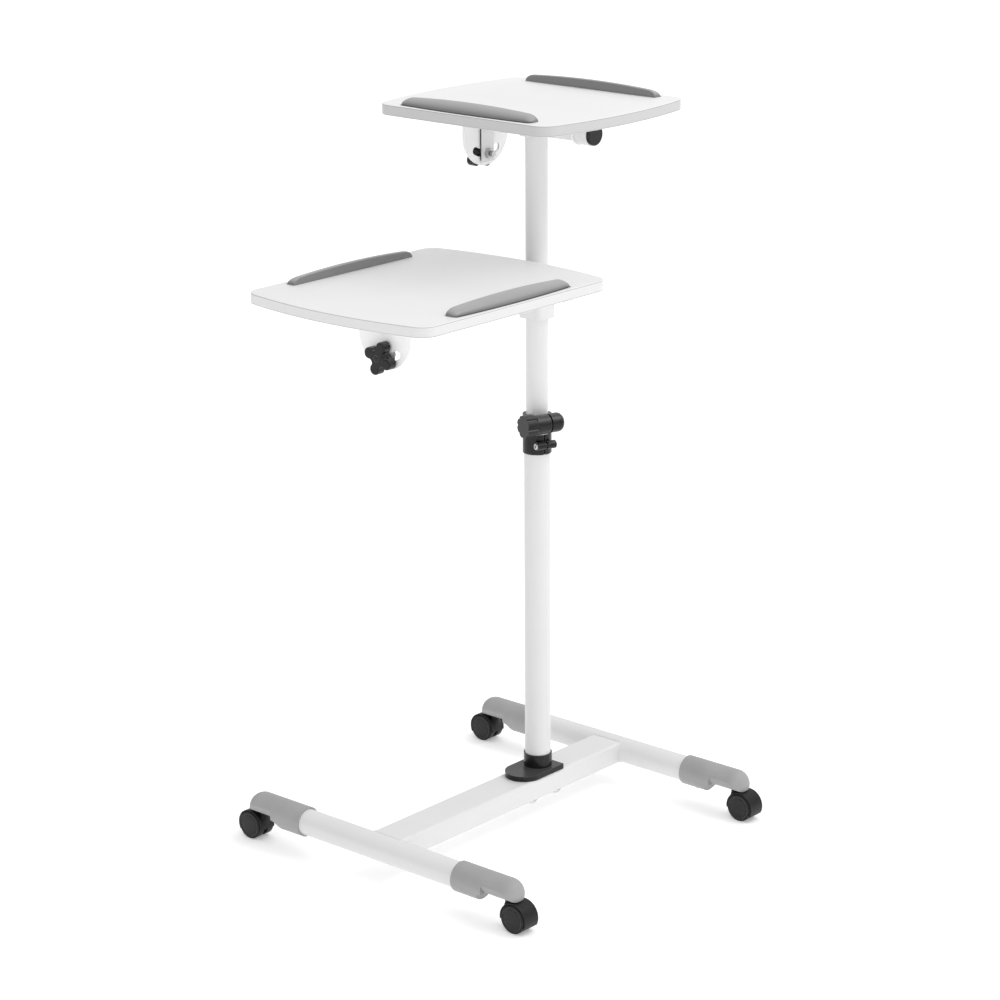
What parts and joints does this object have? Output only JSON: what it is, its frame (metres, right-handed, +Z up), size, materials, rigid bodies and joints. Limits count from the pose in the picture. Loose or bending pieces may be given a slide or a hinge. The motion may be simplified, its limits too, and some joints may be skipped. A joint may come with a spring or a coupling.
{
  "type": "projector stand",
  "caption": "White rolling projector stand: telescopic column, tilting upper and lower shelves with edge stoppers, and a tubular H-shaped base on hooded swivel casters.",
  "frame": {"origin": "on the floor, under the middle of the stand's bounding box", "axes": "+X along the two legs, +Y along the cross beam towards the rear leg, +Z up"},
  "size_m": [0.5516, 0.6284, 1.0794],
  "materials": {
    "white_paint": "satin white powder coat on steel",
    "white_board": "white laminate on fibreboard with a matching edge band",
    "stopper_grey": "moulded mid grey plastic, satin",
    "cap_grey": "moulded light grey plastic, fine texture",
    "black_plastic": "moulded black plastic, satin",
    "steel": "zinc plated steel"
  },
  "bodies": {
    "base": {"front_leg_tube": "white_paint", "rear_leg_tube": "white_paint", "cross_beam": "white_paint", "foot_cap_front_left": "cap_grey", "foot_cap_front_right": "cap_grey", "foot_cap_rear_left": "cap_grey", "foot_cap_rear_right": "cap_grey", "base_flange": "black_plastic", "lower_tube": "white_paint", "height_clamp": "black_plastic", "clamp_bolt": "steel"},
    "height_knob": {"height_knob": "black_plastic"},
    "mast": {"upper_tube": "white_paint", "upper_tilt_tube": "white_paint", "upper_tilt_nut": "steel", "upper_pivot_cap_left": "black_plastic", "upper_pivot_cap_right": "black_plastic", "upper_pivot_boss": "white_paint"},
    "upper_tilt_knob": {"upper_tilt_knob": "black_plastic"},
    "upper_shelf": {"upper_board": "white_board", "upper_front_stopper": "stopper_grey", "upper_rear_stopper": "stopper_grey", "upper_yoke": "white_paint"},
    "carriage": {"arm_collar": "white_paint", "lower_tilt_tube": "white_paint", "lower_tilt_nut": "steel", "lower_pivot_cap": "black_plastic"},
    "collar_knob": {"collar_knob": "black_plastic"},
    "lower_tilt_knob": {"lower_tilt_knob": "black_plastic"},
    "lower_shelf": {"lower_board": "white_board", "lower_left_stopper": "stopper_grey", "lower_right_stopper": "stopper_grey", "lower_yoke": "white_paint"},
    "caster_front_left": {"caster_hood_front_left": "black_plastic"},
    "wheels_front_left": {"caster_wheels_front_left": "black_plastic"},
    "caster_front_right": {"caster_hood_front_right": "black_plastic"},
    "wheels_front_right": {"caster_wheels_front_right": "black_plastic"},
    "caster_rear_left": {"caster_hood_rear_left": "black_plastic"},
    "wheels_rear_left": {"caster_wheels_rear_left": "black_plastic"},
    "caster_rear_right": {"caster_hood_rear_right": "black_plastic"},
    "wheels_rear_right": {"caster_wheels_rear_right": "black_plastic"}
  },
  "joints": [
    {"name": "height_slide", "type": "slide", "parent": "base", "child": "mast", "axis": [0, 0, 1], "range_m": [-0.12, 0.1]},
    {"name": "shelf_slide", "type": "slide", "parent": "mast", "child": "carriage", "axis": [0, 0, -1], "range_m": [-0.04, 0.1]},
    {"name": "upper_tilt", "type": "hinge", "parent": "mast", "child": "upper_shelf", "pos_m": [0, 0.10825, 1.031], "axis": [1, 0, 0], "range_deg": [-25, 25]},
    {"name": "lower_tilt", "type": "hinge", "parent": "carriage", "child": "lower_shelf", "pos_m": [0, -0.10975, 0.807], "axis": [0, 1, 0], "range_deg": [-25, 25]},
    {"name": "height_knob_turn", "type": "hinge", "parent": "base", "child": "height_knob", "pos_m": [0.02884, 0.10832, 0.606], "axis": [-0.3256, -0.9455, 0], "range_deg": [-90, 90]},
    {"name": "collar_knob_turn", "type": "hinge", "parent": "carriage", "child": "collar_knob", "pos_m": [0, 0.11825, 0.788], "axis": [0, 1, 0], "range_deg": [-90, 90]},
    {"name": "upper_tilt_knob_turn", "type": "hinge", "parent": "mast", "child": "upper_tilt_knob", "pos_m": [0, 0.10825, 0.983], "axis": [-1, 0, 0], "range_deg": [-90, 90]},
    {"name": "lower_tilt_knob_turn", "type": "hinge", "parent": "carriage", "child": "lower_tilt_knob", "pos_m": [0, -0.10975, 0.759], "axis": [0, -1, 0], "range_deg": [-90, 90]},
    {"name": "caster_swivel_front_left", "type": "hinge", "parent": "base", "child": "caster_front_left", "pos_m": [-0.236, -0.21975, 0.04], "axis": [0, 0, 1], "continuous": true},
    {"name": "wheel_spin_front_left", "type": "hinge", "parent": "caster_front_left", "child": "wheels_front_left", "pos_m": [-0.253, -0.21975, 0.0205], "axis": [0, 1, 0], "continuous": true},
    {"name": "caster_swivel_front_right", "type": "hinge", "parent": "base", "child": "caster_front_right", "pos_m": [0.236, -0.21975, 0.04], "axis": [0, 0, 1], "continuous": true},
    {"name": "wheel_spin_front_right", "type": "hinge", "parent": "caster_front_right", "child": "wheels_front_right", "pos_m": [0.253, -0.21975, 0.0205], "axis": [0, 1, 0], "continuous": true},
    {"name": "caster_swivel_rear_left", "type": "hinge", "parent": "base", "child": "caster_rear_left", "pos_m": [-0.236, 0.29225, 0.04], "axis": [0, 0, 1], "continuous": true},
    {"name": "wheel_spin_rear_left", "type": "hinge", "parent": "caster_rear_left", "child": "wheels_rear_left", "pos_m": [-0.253, 0.29225, 0.0205], "axis": [0, 1, 0], "continuous": true},
    {"name": "caster_swivel_rear_right", "type": "hinge", "parent": "base", "child": "caster_rear_right", "pos_m": [0.236, 0.29225, 0.04], "axis": [0, 0, 1], "continuous": true},
    {"name": "wheel_spin_rear_right", "type": "hinge", "parent": "caster_rear_right", "child": "wheels_rear_right", "pos_m": [0.253, 0.29225, 0.0205], "axis": [0, 1, 0], "continuous": true}
  ]
}
